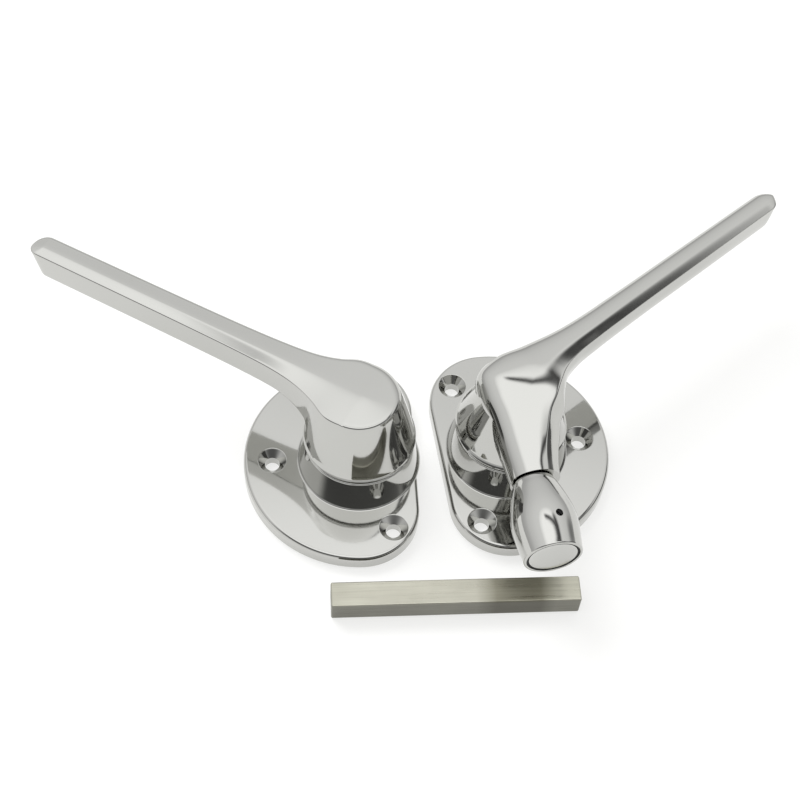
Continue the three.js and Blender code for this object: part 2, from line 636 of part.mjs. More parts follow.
const lock = new THREE.Group();
lock.position.z = LOCK_AXIS_Z;
lock.rotation.y = Math.PI / 2;
lock.add(
  mesh('lock_barrel', lockBarrel(), 'polished'),
  mesh('lock_button', lockButton(), 'brushed'),
  mesh('lock_button_seal', sealRing(), 'rubber'),
  mesh('lock_pin', lockPin(), 'brass'),
  mesh('lock_spring', lockSpring(), 'spring_steel'),
  mesh('lock_barrel_cross_pin', crossPin(), 'dark_steel'),
);
inside.add(turnedGroup(INSIDE_ARM_TURN, turnedGroup(LOCK_ANGLE, lock)));
root.add(inside);

const spindle = mesh('square_spindle', squareSpindle(), 'brushed');
spindle.rotation.y = Math.PI / 2;
const laidSpindle = turnedGroup(SPINDLE_TURN, spindle);
laidSpindle.position.set(SPINDLE_PLACE[0], SPINDLE_PLACE[1], SPINDLE / 2);
root.add(laidSpindle);

export default root;
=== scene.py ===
"""Looks of the door lever handle set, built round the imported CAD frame.

The levers, roses, lock barrel, button, return spring and spindle are rebuilt here as fine surfaces
that stand for their CAD nodes; the other pieces inside keep their CAD shape and only get materials.
Sizes are millimetres in this script's own geometry, and metres once a mesh is made.
"""
import math

import bmesh
import bpy
import numpy as np
from mathutils import Matrix, Vector


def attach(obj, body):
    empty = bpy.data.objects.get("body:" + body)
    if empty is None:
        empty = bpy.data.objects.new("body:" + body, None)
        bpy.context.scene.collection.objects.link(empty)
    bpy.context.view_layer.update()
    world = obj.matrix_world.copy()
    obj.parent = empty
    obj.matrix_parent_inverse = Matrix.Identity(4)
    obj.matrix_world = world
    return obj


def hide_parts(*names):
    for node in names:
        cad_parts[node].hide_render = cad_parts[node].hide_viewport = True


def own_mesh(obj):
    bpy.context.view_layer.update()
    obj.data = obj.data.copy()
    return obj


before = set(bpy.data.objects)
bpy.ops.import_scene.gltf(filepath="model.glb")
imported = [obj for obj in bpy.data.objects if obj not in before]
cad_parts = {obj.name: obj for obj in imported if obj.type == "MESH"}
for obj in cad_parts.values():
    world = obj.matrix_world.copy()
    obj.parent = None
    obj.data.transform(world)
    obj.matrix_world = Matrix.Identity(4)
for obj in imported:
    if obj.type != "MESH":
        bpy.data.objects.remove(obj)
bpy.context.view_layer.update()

MM = 0.001

# ---------- sizes, as in the CAD source ----------
SPINDLE = 8.0
SOCKET = 8.2
ROSE_RADIUS = 35.4
ROSE_FLAT = 17.9
ROSE_CORNER = 18.0
ROSE_THICKNESS = 5.4
SCREW_CIRCLE = 26.6
SCREW_ANGLES = (180.0, 69.0, -69.0)
SCREW_HOLE = 2.3
SCREW_SINK = 4.2
SCREW_SINK_DEPTH = 2.4
BOSS_RADIUS = 18.4
BOSS_TOP_RADIUS = 16.8
BOSS_TOP = 17.6
BOSS_FILLET = 0.8
BOSS_EDGE = 0.6
CLIP_POCKET_RADIUS = 14.6          # pocket in the rose's back for the clip and wave washer
CLIP_POCKET_DEPTH = 4.2
BUSH_BORE = 12.4
BUSH_CUT = (-2, 7)                 # past both faces of the plate
HUB_BOTTOM = 18.8
TOP = 41.0
ARM_BOTTOM = 30.6
ARM_LENGTH = 115.0
ARM_HALF_ROOT = 4.9
ARM_HALF_TIP = 4.3
TIP_SLANT = 3.0
HEAD_RADIUS = 12.2
DRUM_RADIUS = 17.4
SPIGOT_RADIUS = 9.3                # journals below the hubs, with a groove for the clip
SPIGOT_BOTTOM = 1.0
CLIP_Z = 1.4
INSIDE_SPIGOT_RADIUS = 10.4
INSIDE_SPIGOT_BOTTOM = 1.4
INSIDE_CLIP_Z = 2.0
GROOVE = (-0.3, 1.3)               # the clip groove's edges, from the clip's underside
GROOVE_DEPTH = 1.0
SOCKET_TOP = 34.0
SLEEVE_ROOM = 8.6                  # bore in the inside lever that the lock sleeve stands in
SLEEVE_ROOM_TOP = 31.6
INSIDE_SOCKET = (31.0, 36.0)       # the inside square hole's ends, kept below the lowered head
GRUB_HOLE = 2.8                    # the set screws' holes: radius, outer end, direction and height
GRUB_HOLE_END = 30.0
GRUB_TURN = -75.0
GRUB_Z = 24.0
INSIDE_GRUB_TURN = 80.0
INSIDE_GRUB_Z = 35.0
LOCK_Z = 27.0
PIN_BORE = 2.1
PIN_BORE_END = 14.0
GUIDE_BORE = 4.6
GUIDE_START = 12.5
GUIDE_END = 27.0
HORN_RADIUS = 6.9
HORN_STEP = 1.4                    # the horn's end stands out beyond the barrel on one side
HORN_END = 25.4
BARREL_START = 25.8
BARREL_END = 50.8
BARREL_WAIST = (0.2, 8.0)          # share of the barrel's length, radius there
BARREL_BELLY = (0.48, 9.7)
BARREL_START_RADIUS = 6.3
BARREL_END_RADIUS = 8.8
BARREL_EDGE = 0.4
BARREL_RIM = 0.5
BUTTON_END = 50.6
BUTTON_RADIUS = 7.3
BUTTON_THICKNESS = 2.6
BUTTON_EDGE = 0.3
BUTTON_POCKET_RADIUS = 7.9

OUTSIDE_ROSE_TURN = 8.0
OUTSIDE_ARM_TURN = 156.8
INSIDE_ROSE_TURN = 194.0
INSIDE_ARM_TURN = 45.0
INSIDE_AXIS = (45.7, 8.8)
INSIDE_BOSS_OFFSET = -3.0
HORN_TURN = -119.5                 # the horn's direction, measured from the inside arm
LOCK_TURN = INSIDE_ARM_TURN + HORN_TURN
SPINDLE_LENGTH = 74.0
SPINDLE_CORNER = 0.5
SPINDLE_PLACE = (33.0, -44.0)
SPINDLE_TURN = 7.5

TURNS = 192                        # points round a large turned surface
PAST = 1                           # how far a cutter runs past the face it opens
FLAT_BIAS = 60                     # how much flat faces outweigh the roundings beside them


# ---------- meshes ----------
def placed(points, turn=0.0, move=(0.0, 0.0)):
    """Points in millimetres, turned about Z and moved, as metres."""
    p = np.asarray(points, float)
    a = math.radians(turn)
    x = p[:, 0] * math.cos(a) - p[:, 1] * math.sin(a) + move[0]
    y = p[:, 0] * math.sin(a) + p[:, 1] * math.cos(a) + move[1]
    return np.stack([x, y, p[:, 2]], 1) * MM


def make(name, points, faces, turn=0.0, move=(0.0, 0.0), sharp=32.0):
    """A clean shaded object: doubles merged, faces turned outwards, edges sharp above an angle."""
    mesh = bpy.data.meshes.new(name)
    mesh.from_pydata(placed(points, turn, move).tolist(), [], faces)
    obj = bpy.data.objects.new(name, mesh)
    bpy.context.scene.collection.objects.link(obj)
    tidy(obj, sharp)
    return obj


def tidy(obj, sharp=32.0):
    bm = bmesh.new()
    bm.from_mesh(obj.data)
    bmesh.ops.remove_doubles(bm, verts=bm.verts, dist=2e-6)
    bmesh.ops.dissolve_degenerate(bm, edges=bm.edges, dist=1e-6)
    bmesh.ops.recalc_face_normals(bm, faces=bm.faces)
    limit = math.radians(sharp)
    for face in bm.faces:
        face.smooth = True
    for edge in bm.edges:
        edge.smooth = len(edge.link_faces) == 2 and edge.calc_face_angle(0.0) < limit
    bm.to_mesh(obj.data)
    bm.free()
    return obj


def weighted(obj):
    """Normals weighted by face size, so flat faces beside a rounding stay flat."""
    mod = obj.modifiers.new("weighted_normals", "WEIGHTED_NORMAL")
    mod.keep_sharp = True
    mod.weight = FLAT_BIAS
    return obj


def arc(cx, cy, radius, start, end, steps):
    """Points on an arc, angles in degrees, both ends included."""
    angles = np.radians(np.linspace(start, end, steps + 1))
    return [(cx + radius * math.cos(a), cy + radius * math.sin(a)) for a in angles]


def turned(profile, segments=TURNS):
    """Closed surface of revolution about Z from a closed list of (radius, height)."""
    points = []
    for i in range(segments):
        a = 2 * math.pi * i / segments
        points += [(r * math.cos(a), r * math.sin(a), z) for r, z in profile]
    count = len(profile)
    faces = []
    for i in range(segments):
        j = (i + 1) % segments
        for k in range(count):
            m = (k + 1) % count
            faces.append((i * count + k, j * count + k, j * count + m, i * count + m))
    return np.array(points), faces


def rod(radius, bottom, top, segments=TURNS):
    """A plain cylinder about Z."""
    return turned([(0, bottom), (radius, bottom), (radius, top), (0, top)], segments)


def along_x(points, height):
    """Turns a shape made about Z so that its axis runs along +X at a height."""
    p = np.asarray(points, float)
    return np.stack([p[:, 2], p[:, 1], height - p[:, 0]], 1)


def boolean(obj, tool, operation="DIFFERENCE"):
    mod = obj.modifiers.new("cut", "BOOLEAN")
    mod.operation = operation
    mod.solver = "EXACT"
    mod.object = tool
    bpy.context.view_layer.update()
    shaped = bpy.data.meshes.new_from_object(obj.evaluated_get(bpy.context.evaluated_depsgraph_get()))
    obj.modifiers.clear()
    obj.data = shaped
    bpy.data.objects.remove(tool)
    return obj


# ---------- materials ----------
class Nodes:
    """Small helper that wires one procedural material."""

    def __init__(self, name):
        self.material = bpy.data.materials.new(name)
        self.material.use_nodes = True
        self.tree = self.material.node_tree
        self.shader = self.tree.nodes["Principled BSDF"]

    def add(self, kind, **settings):
        node = self.tree.nodes.new(kind)
        for key, value in settings.items():
            if key in node.inputs:
                node.inputs[key].default_value = value
            else:
                setattr(node, key, value)
        return node

    def link(self, out, into):
        self.tree.links.new(out, into)

    def coords(self, scale=(1, 1, 1), turn=(0, 0, 0)):
        where = self.add("ShaderNodeTexCoord")
        mapping = self.add("ShaderNodeMapping")
        mapping.inputs["Scale"].default_value = scale
        mapping.inputs["Rotation"].default_value = turn
        self.link(where.outputs["Object"], mapping.inputs["Vector"])
        return mapping.outputs["Vector"]

    def noise(self, vector, scale, detail=3.0, rough=0.5):
        node = self.add("ShaderNodeTexNoise", Scale=scale, Detail=detail, Roughness=rough)
        self.link(vector, node.inputs["Vector"])
        return node.outputs["Fac"]

    def remap(self, value, low, high, out_low, out_high):
        node = self.add("ShaderNodeMapRange")
        limits = {"From Min": low, "From Max": high, "To Min": out_low, "To Max": out_high}
        for key, number in limits.items():
            node.inputs[key].default_value = number
        self.link(value, node.inputs["Value"])
        return node.outputs["Result"]

    def ramp(self, value, *stops):
        node = self.add("ShaderNodeValToRGB")
        ramp = node.color_ramp
        for i, (place, colour) in enumerate(stops):
            stop = ramp.elements[i] if i < 2 else ramp.elements.new(place)
            stop.position = place
            stop.color = (*colour, 1)
        self.link(value, node.inputs["Fac"])
        return node.outputs["Color"]

    def along_bar(self, coarse, fine):
        """Coordinates stretched along the loose spindle: coarse along it and fine across it."""
        mapping = self.add("ShaderNodeMapping", vector_type="TEXTURE")
        mapping.inputs["Rotation"].default_value = (0, 0, math.radians(SPINDLE_TURN))
        mapping.inputs["Scale"].default_value = (1 / coarse, 1 / fine, 1 / fine)
        self.link(self.add("ShaderNodeTexCoord").outputs["Object"], mapping.inputs["Vector"])
        return mapping.outputs["Vector"]

    def lengthwise(self):
        """Place along the loose spindle, 0 at its left end and 1 at its right."""
        a = math.radians(SPINDLE_TURN)
        dot = self.add("ShaderNodeVectorMath", operation="DOT_PRODUCT")
        dot.inputs[1].default_value = (math.cos(a), math.sin(a), 0)
        where = self.add("ShaderNodeTexCoord")
        self.link(where.outputs["Object"], dot.inputs[0])
        middle = (SPINDLE_PLACE[0] * math.cos(a) + SPINDLE_PLACE[1] * math.sin(a)) * MM
        half = SPINDLE_LENGTH / 2 * MM
        return self.remap(dot.outputs["Value"], middle - half, middle + half, 0.0, 1.0)

    def upward(self):
        """How far the surface faces up, from 0 on the sides to 1 on the top."""
        parts = self.add("ShaderNodeSeparateXYZ")
        self.link(self.add("ShaderNodeNewGeometry").outputs["Normal"], parts.inputs["Vector"])
        return parts.outputs["Z"]

    def bump(self, *layers):
        """Layers of (height, strength, distance), one on another."""
        last = None
        for height, strength, distance in layers:
            node = self.add("ShaderNodeBump", Strength=strength, Distance=distance)
            self.link(height, node.inputs["Height"])
            if last is not None:
                self.link(last, node.inputs["Normal"])
            last = node.outputs["Normal"]
        self.link(last, self.shader.inputs["Normal"])


def metal(name, low, high, rough, grain, scratch=0.0, blotch=14.0):
    """Metal with a slow colour drift, uneven polish, fine grain and hairline scratches."""
    m = Nodes(name)
    m.shader.inputs["Metallic"].default_value = 1.0
    here = m.coords()
    drift = m.noise(here, blotch, 2.0)
    m.link(m.ramp(drift, (0.3, low), (0.7, high)), m.shader.inputs["Base Color"])
    polish = m.noise(here, 60.0, 4.0, 0.6)
    m.link(m.remap(polish, 0.3, 0.7, rough[0], rough[1]), m.shader.inputs["Roughness"])
    layers = [(m.noise(here, 900.0, 2.0), grain, 0.00002)]
    if scratch:
        hair = m.noise(m.coords((9.0, 260.0, 9.0), (0.2, 0.1, 0.7)), 14.0, 2.0)
        layers.append((m.remap(hair, 0.62, 0.72, 0.0, 1.0), scratch, 0.00001))
    m.bump(*layers)
    return m.material


# Tones along the bar: the darker stretch is a painted dark reflection, shade put into the bar's colour.
SPINDLE_PAINTED_REFLECTION_TONES = (
    (0.0, (0.95, 0.95, 0.94)), (0.58, (1.0, 1.0, 1.0)), (0.66, (0.55, 0.54, 0.5)),
    (0.84, (0.5, 0.49, 0.45)), (0.9, (0.92, 0.92, 0.9)),
)


def brushed_spindle():
    """Drawn square bar: streaks along its length over a slightly yellow steel, with a painted dark
    reflection along part of it and painted shade on its sides.
    """
    m = Nodes("drawn_spindle_steel")
    m.shader.inputs["Metallic"].default_value = 1.0
    streak = m.noise(m.along_bar(18.0, 900.0), 2.0, 5.0, 0.65)
    blotch = m.noise(m.coords(), 45.0, 3.0)
    mixed = m.add("ShaderNodeMath", operation="MULTIPLY")
    m.link(streak, mixed.inputs[0])
    m.link(blotch, mixed.inputs[1])
    colour = m.ramp(mixed.outputs[0], (0.12, (0.46, 0.45, 0.38)), (0.4, (0.66, 0.65, 0.56)))
    # painted dark reflection: the tones along the bar darken a stretch of its colour
    painted_reflection_band = m.add("ShaderNodeMix", data_type="RGBA", blend_type="MULTIPLY")
    painted_reflection_band.inputs["Factor"].default_value = 1.0
    m.link(colour, painted_reflection_band.inputs["A"])
    m.link(m.ramp(m.lengthwise(), *SPINDLE_PAINTED_REFLECTION_TONES), painted_reflection_band.inputs["B"])
    # painted shade: the bar's sides are darkened against its top by the way they face
    painted_side_shade = m.add("ShaderNodeMix", data_type="RGBA", blend_type="MULTIPLY")
    painted_side_shade.inputs["Factor"].default_value = 1.0
    m.link(painted_reflection_band.outputs["Result"], painted_side_shade.inputs["A"])
    m.link(m.ramp(m.upward(), (0.3, (0.34, 0.34, 0.34)), (0.8, (1.0, 1.0, 1.0))), painted_side_shade.inputs["B"])
    m.link(painted_side_shade.outputs["Result"], m.shader.inputs["Base Color"])
    m.link(m.remap(streak, 0.3, 0.7, 0.24, 0.42), m.shader.inputs["Roughness"])
    m.shader.inputs["Anisotropic"].default_value = 0.5
    m.bump((streak, 0.25, 0.00004))
    return m.material


def plastic(name, low, high, rough):
    m = Nodes(name)
    here = m.coords()
    m.link(m.ramp(m.noise(here, 120.0), (0.3, low), (0.7, high)), m.shader.inputs["Base Color"])
    m.link(m.remap(m.noise(here, 300.0), 0.3, 0.7, rough - 0.08, rough + 0.08), m.shader.inputs["Roughness"])
    m.bump((m.noise(here, 1500.0), 0.2, 0.00003))
    return m.material


POLISHED = metal("polished_steel", (0.49, 0.49, 0.47), (0.53, 0.53, 0.51), (0.05, 0.09), 0.02, 0.03)
BUTTON = metal("satin_button_steel", (0.5, 0.5, 0.485), (0.58, 0.58, 0.56), (0.16, 0.26), 0.1, 0.1)
BRASS = metal("machined_brass", (0.62, 0.46, 0.2), (0.75, 0.58, 0.3), (0.22, 0.36), 0.12, 0.1, 40.0)
SPRING = metal("bright_spring_steel", (0.4, 0.41, 0.43), (0.55, 0.56, 0.58), (0.2, 0.35), 0.1)
BLACK = metal("oiled_black_steel", (0.03, 0.03, 0.032), (0.07, 0.07, 0.075), (0.35, 0.5), 0.2, 0.0, 60.0)
SPINDLE_STEEL = brushed_spindle()
NYLON = plastic("natural_nylon", (0.78, 0.75, 0.66), (0.86, 0.84, 0.77), 0.5)
RUBBER = plastic("seal_rubber", (0.012, 0.012, 0.013), (0.03, 0.03, 0.032), 0.7)


def dress(obj, material):
    obj.data.materials.clear()
    obj.data.materials.append(material)


def piece(obj, body, material, slot, *nodes):
    dress(obj, material)
    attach(obj, body)
    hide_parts(*nodes)
    return obj


# ---------- roses ----------
def rose_outline(inset, steps=64):
    """The plate's outline in plan: a round side, a flat edge, and corner arcs that touch both."""
    corner_x = ROSE_FLAT - ROSE_CORNER
    corner_y = math.sqrt((ROSE_RADIUS - ROSE_CORNER) ** 2 - corner_x ** 2)
    meet = math.degrees(math.atan2(corner_y, corner_x))
    points = arc(0, 0, ROSE_RADIUS - inset, meet, 360 - meet, 2 * steps)
    points += arc(corner_x, -corner_y, ROSE_CORNER - inset, -meet, 0, steps)[1:]
    points += arc(corner_x, corner_y, ROSE_CORNER - inset, 0, meet, steps)[:-1]
    return points


EDGE_WIDE = 1.2                    # the plate's rounded rim: its width in plan and its height
EDGE_HIGH = 1.5


def plate_solid():
    levels = [(0.3, 0.0), (0.0, 0.35)]
    for i in range(13):
        a = math.radians(90.0 * i / 12)
        inset = EDGE_WIDE * (1 - math.cos(a))
        levels.append((inset, ROSE_THICKNESS - EDGE_HIGH * (1 - math.sin(a))))
    rings = [[(x, y, z) for x, y in rose_outline(inset)] for inset, z in levels]
    count = len(rings[0])
    faces = [tuple(reversed(range(count)))]
    for i in range(len(rings) - 1):
        for k in range(count):
            m = (k + 1) % count
            faces.append((i * count + k, i * count + m, (i + 1) * count + m, (i + 1) * count + k))
    last = (len(rings) - 1) * count
    faces.append(tuple(range(last, last + count)))
    return [p for ring in rings for p in ring], faces


def boss_profile():
    """The tapered collar, from inside the plate up, with a fillet at its foot and a rounded rim."""
    foot = BOSS_RADIUS + BOSS_FILLET
    sunk = 0.03                    # the fillet starts this far inside the plate
    base = arc(foot, ROSE_THICKNESS + BOSS_FILLET - sunk, BOSS_FILLET, 270, 185, 10)
    rim = arc(BOSS_TOP_RADIUS - BOSS_EDGE, BOSS_TOP - BOSS_EDGE, BOSS_EDGE, 8, 90, 8)
    return ([(BUSH_BORE, CLIP_POCKET_DEPTH), (foot, CLIP_POCKET_DEPTH)] + base + rim
            + [(BUSH_BORE, BOSS_TOP)])


def sink_profile():
    """Countersink and through hole, with a small rounded lip at the plate's face."""
    lip = 0.35
    flare = [(SCREW_SINK + lip * (1 - math.cos(a)), ROSE_THICKNESS - lip * (1 - math.sin(a)))
             for a in np.radians(np.linspace(20, 90, 7))]
    return ([(0, -PAST), (SCREW_HOLE, -PAST), (SCREW_HOLE, ROSE_THICKNESS - SCREW_SINK_DEPTH)] + flare
            + [(flare[-1][0], ROSE_THICKNESS + PAST), (0, ROSE_THICKNESS + PAST)])


def rose(name, body, node, turn, move, boss_offset):
    shift = np.array([-boss_offset, 0.0, 0.0])
    plate, faces = plate_solid()
    obj = make(name, np.array(plate) + shift, faces, turn, move)
    obj = boolean(obj, make("tool", *rod(CLIP_POCKET_RADIUS, -PAST, CLIP_POCKET_DEPTH), turn, move))
    for angle in SCREW_ANGLES:
        a = math.radians(angle)
        points, tool_faces = turned(sink_profile(), 64)
        centre = np.array([SCREW_CIRCLE * math.cos(a), SCREW_CIRCLE * math.sin(a), 0.0])
        obj = boolean(obj, make("tool", points + centre + shift, tool_faces, turn, move))
    obj = boolean(obj, make("tool", *rod(BUSH_BORE, *BUSH_CUT), turn, move))
    obj = boolean(obj, make("tool", *turned(boss_profile()), turn, move), "UNION")
    tidy(obj)
    weighted(obj)
    return piece(obj, body, POLISHED, "polished_steel", node)


# ---------- outside lever ----------
HEAD_TOP_RADIUS = 11.85            # the hub's top circle and its centre, in the arm's frame
HEAD_SHIFT = (1.3, -0.35)
HUB_SWELL = 14.0                   # distance along the arm where half of the head's extra width is left
CROWN = 0.5                        # how far the ridge of the top face stands above its edges
CRISP = 0.5                        # rounding of the near top edge
SOFT_HUB = 2.6                     # rounding of the hub's far shoulder
SOFT_ARM = 1.7                     # rounding of the arm's far top edge
FOOT = 0.7                         # rounding of the lower edges
TIP_ROUND = 4.4
SWEEP_START = 8.0                  # where the underside leaves the hub
SWEEP_LENGTH = 20.0
SWEEP_POWER = 2.4
OUTSIDE_ARM_OFFSET = -0.9         # the arm leaves the hub off its centre, towards the far side
BEAD = 0.35                        # thin bead round the hub's lower rim
HUB_CORE_TOP = 34.0
HUB_CORE_SKIN = 0.04


def ease(x, low, high):
    share = np.clip((np.asarray(x, float) - low) / (high - low), 0, 1)
    return share * share * (3 - 2 * share)


def arm_half(along):
    """Half width of the arm, swelling into the round head."""
    straight = ARM_HALF_ROOT + (ARM_HALF_TIP - ARM_HALF_ROOT) * np.clip(along / ARM_LENGTH, 0, 1)
    return straight + (HEAD_RADIUS - ARM_HALF_ROOT) / (1 + (along / HUB_SWELL) ** 2.9)


def hub_fall(z):
    """0 at the top face, 1 at the hub's lower rim."""
    return min(max((TOP - z) / (TOP - HUB_BOTTOM), 0), 1)


def drum_radius(z):
    """The conical hub widens downwards, fastest just under the top face, to a beaded rim."""
    bead = BEAD * math.exp(-((z - HUB_BOTTOM - 1.0) / 0.45) ** 2)
    return HEAD_TOP_RADIUS + (DRUM_RADIUS - BEAD - HEAD_TOP_RADIUS) * hub_fall(z) ** 0.8 + bead


def drum_reach(along, angle, z):
    """How far the hub's side stands from a point on the centre line; its top leans off the axis."""
    fall = hub_fall(z)
    radius = drum_radius(z)
    x = along - HEAD_SHIFT[0] * (1 - fall)
    y = -HEAD_SHIFT[1] * (1 - fall)
    ahead = x * math.cos(angle) + y * math.sin(angle)
    return math.sqrt(max(ahead * ahead - x * x - y * y + radius * radius, 0.0)) - ahead


def underside(along):
    """Height of the lever's underside: the hub's rim, a sweep, then the straight arm."""
    share = np.clip((along - SWEEP_START) / SWEEP_LENGTH, 0, 1)
    return HUB_BOTTOM + (ARM_BOTTOM - HUB_BOTTOM) * (1 - (1 - share) ** SWEEP_POWER)


def tip_reach(angle, half):
    """Distance from the tip's centre to its rounded end, in plan."""
    power = 2.4
    across = (np.abs(np.sin(angle)) / half) ** power
    ahead = (np.abs(np.cos(angle)) / TIP_ROUND) ** power
    return (across + ahead) ** (-1 / power)


def outside_columns():
    """Plan columns round the lever: base point on the centre line, direction, kind and top rounding."""
    ahead = np.concatenate([np.linspace(0, 34, 52)[:-1], np.linspace(34, ARM_LENGTH - TIP_ROUND, 50)])
    tip = np.linspace(-math.pi / 2, math.pi / 2, 26)[1:-1]
    back = np.linspace(math.pi / 2, 1.5 * math.pi, 110)[1:-1]
    far_edge = SOFT_ARM + (SOFT_HUB - SOFT_ARM) * (1 - ease(ahead, 4, 30))
    columns = [((x, 0.0), -math.pi / 2, "arm", edge) for x, edge in zip(ahead, far_edge)]
    tip_edge = CRISP + (SOFT_ARM - CRISP) * (1 - ease(tip, -1.2, 0.6))
    columns += [((ahead[-1], 0.0), a, "tip", edge) for a, edge in zip(tip, tip_edge)]
    columns += [((x, 0.0), math.pi / 2, "arm", CRISP) for x in ahead[::-1]]
    back_edge = CRISP + (SOFT_HUB - CRISP) * ease(back, math.radians(165), math.radians(235))
    columns += [((0.0, 0.0), a, "back", edge) for a, edge in zip(back, back_edge)]
    return columns


def side_reach(column, z):
    """How far the lever's side stands from the column's base at a height."""
    (along, _), angle, kind, _ = column
    if kind == "tip":
        return tip_reach(angle, arm_half(along) + OUTSIDE_ARM_OFFSET * math.sin(angle))
    drum = drum_reach(along, angle, z)
    if kind == "back":
        return drum
    arm = arm_half(along) + math.sin(angle) * OUTSIDE_ARM_OFFSET * float(ease(along, -HEAD_RADIUS, 33))
    reach = 0.01 + 3.0 * float(ease(along, 0, 8))
    share = min(max(0.5 + 0.5 * (drum - arm) / reach, 0), 1)
    return arm + (drum - arm) * share + reach * share * (1 - share)


def column_rows(column):
    """Heights and insets up one column: rounded foot, side, rounded top edge."""
    (along, _), _, _, edge = column
    low = float(underside(along))
    high = TOP - CROWN
    rows = []
    for a in np.radians(np.linspace(0, 90, 6))[::-1]:
        rows.append((low + FOOT * (1 - math.sin(a)), FOOT * (1 - math.cos(a))))
    for share in np.linspace(0, 1, 26)[1:-1]:
        rows.append((low + FOOT + (high - edge - low - FOOT) * share, 0.0))
    for a in np.radians(np.linspace(0, 90, 10)):
        rows.append((high - edge * (1 - math.sin(a)), edge * (1 - math.cos(a))))
    return rows


def ridge(share):
    """Height of the top face above its edge: two slopes that meet in a soft ridge."""
    soft = 0.14
    return CROWN * (1 - (math.hypot(share, soft) - soft) / (math.hypot(1, soft) - soft))


def slanted(shape):
    """Leans the tip's end face back towards its foot."""
    points, faces = shape
    depth = np.clip((TOP - points[:, 2]) / (TOP - ARM_BOTTOM), 0, 1)
    points[:, 0] -= TIP_SLANT * depth * ease(points[:, 0], ARM_LENGTH - 14, ARM_LENGTH)
    return points, faces


def outside_lever_solid():
    columns = outside_columns()
    rings = []
    for column in columns:
        (bx, by), angle, _, _ = column
        ring = [(bx + math.cos(angle) * (side_reach(column, z) - inset),
                 by + math.sin(angle) * (side_reach(column, z) - inset), z)
                for z, inset in column_rows(column)]
        caps = 9
        first, last = ring[0], ring[-1]
        under = [(bx + (first[0] - bx) * k / caps, by + (first[1] - by) * k / caps, first[2])
                 for k in range(caps)]
        over = [(bx + (last[0] - bx) * k / caps, by + (last[1] - by) * k / caps, last[2] + ridge(k / caps))
                for k in range(caps - 1, -1, -1)]
        rings.append(under + ring + over)
    return ring_faces(rings, closed=True)


def ring_faces(rings, closed=False, caps=False):
    """Points and quads between rings of equal length; closed joins the last ring to the first."""
    count = len(rings[0])
    faces = []
    pairs = len(rings) if closed else len(rings) - 1
    for i in range(pairs):
        j = (i + 1) % len(rings)
        for k in range(count - 1 if closed else count):
            m = (k + 1) % count
            faces.append((i * count + k, i * count + m, j * count + m, j * count + k))
    if caps:
        last = (len(rings) - 1) * count
        faces.append(tuple(reversed(range(count))))
        faces.append(tuple(range(last, last + count)))
    return np.array([p for ring in rings for p in ring], float), faces


def hub_core():
    """The whole round of the outside hub, a hair inside its side, so that the rim runs on under the arm."""
    rows = [(HUB_BOTTOM + FOOT * (1 - math.sin(a)), FOOT * (1 - math.cos(a)))
            for a in np.radians(np.linspace(90, 10, 6))]
    rows += [(z, 0.0) for z in np.linspace(HUB_BOTTOM + FOOT, HUB_CORE_TOP, 40)]
    rings = []
    for z, inset in rows:
        reaches = [(a, drum_reach(0.0, a, z) - inset - HUB_CORE_SKIN)
                   for a in np.radians(np.arange(0, 360, 2))]
        rings.append([(r * math.cos(a), r * math.sin(a), z) for a, r in reaches])
    return ring_faces(rings, caps=True)


def square_hole(bottom, top):
    half = SOCKET / 2
    corners = [(-half, -half), (half, -half), (half, half), (-half, half)]
    return ring_faces([[(x, y, z) for x, y in corners] for z in (bottom, top)], caps=True)


def side_hole(radius, start, end, degrees, height):
    """A round cutter that leaves the axis sideways."""
    points, faces = turned([(0, start), (radius, start), (radius, end), (0, end)], 48)
    a = math.radians(degrees)
    p = along_x(points, height)
    return np.stack([p[:, 0] * math.cos(a) - p[:, 1] * math.sin(a),
                     p[:, 0] * math.sin(a) + p[:, 1] * math.cos(a), p[:, 2]], 1), faces


def spigot_profile(radius, bottom, clip, top):
    """The journal under a hub: a bevelled end, and a groove round the clip."""
    groove = radius - GROOVE_DEPTH
    low, high = clip + GROOVE[0], clip + GROOVE[1]
    return [
        (0, bottom), (radius - 0.3, bottom), (radius, bottom + 0.15), (radius, low), (groove, low),
        (groove, high), (radius, high), (radius, top), (0, top),
    ]


def cut_out(obj, shape, turn, move, operation="DIFFERENCE"):
    return boolean(obj, make("tool", *shape, turn, move), operation)


def outside_lever():
    turn, move = OUTSIDE_ARM_TURN, (0, 0)
    obj = make("outside_lever_polished", *slanted(outside_lever_solid()), turn, move, sharp=50)
    obj = cut_out(obj, hub_core(), turn, move, "UNION")
    spigot = spigot_profile(SPIGOT_RADIUS, SPIGOT_BOTTOM, CLIP_Z, HUB_BOTTOM + PAST)
    obj = cut_out(obj, turned(spigot), turn, move, "UNION")
    obj = cut_out(obj, square_hole(-PAST, SOCKET_TOP), turn, move)
    obj = cut_out(obj, side_hole(GRUB_HOLE, 0, GRUB_HOLE_END, GRUB_TURN, GRUB_Z), turn, move)
    tidy(obj, 34)
    weighted(obj)
    return piece(obj, "outside_lever_body", POLISHED, "polished_steel", "outside_lever")


# ---------- inside lever ----------
ARM_OFFSET = 2.7                   # the inside arm leaves the head off its centre
INSIDE_HUB_TOP = 33.5              # the head covers the inside hub from here up
INSIDE_HUB_DRAW = 3.6              # how much slimmer than the outside hub it is there


def from_horn(along, aside):
    """A point beside the horn's axis, in the arm's frame."""
    a = math.radians(HORN_TURN)
    return (along * math.cos(a) - aside * math.sin(a), along * math.sin(a) + aside * math.cos(a))


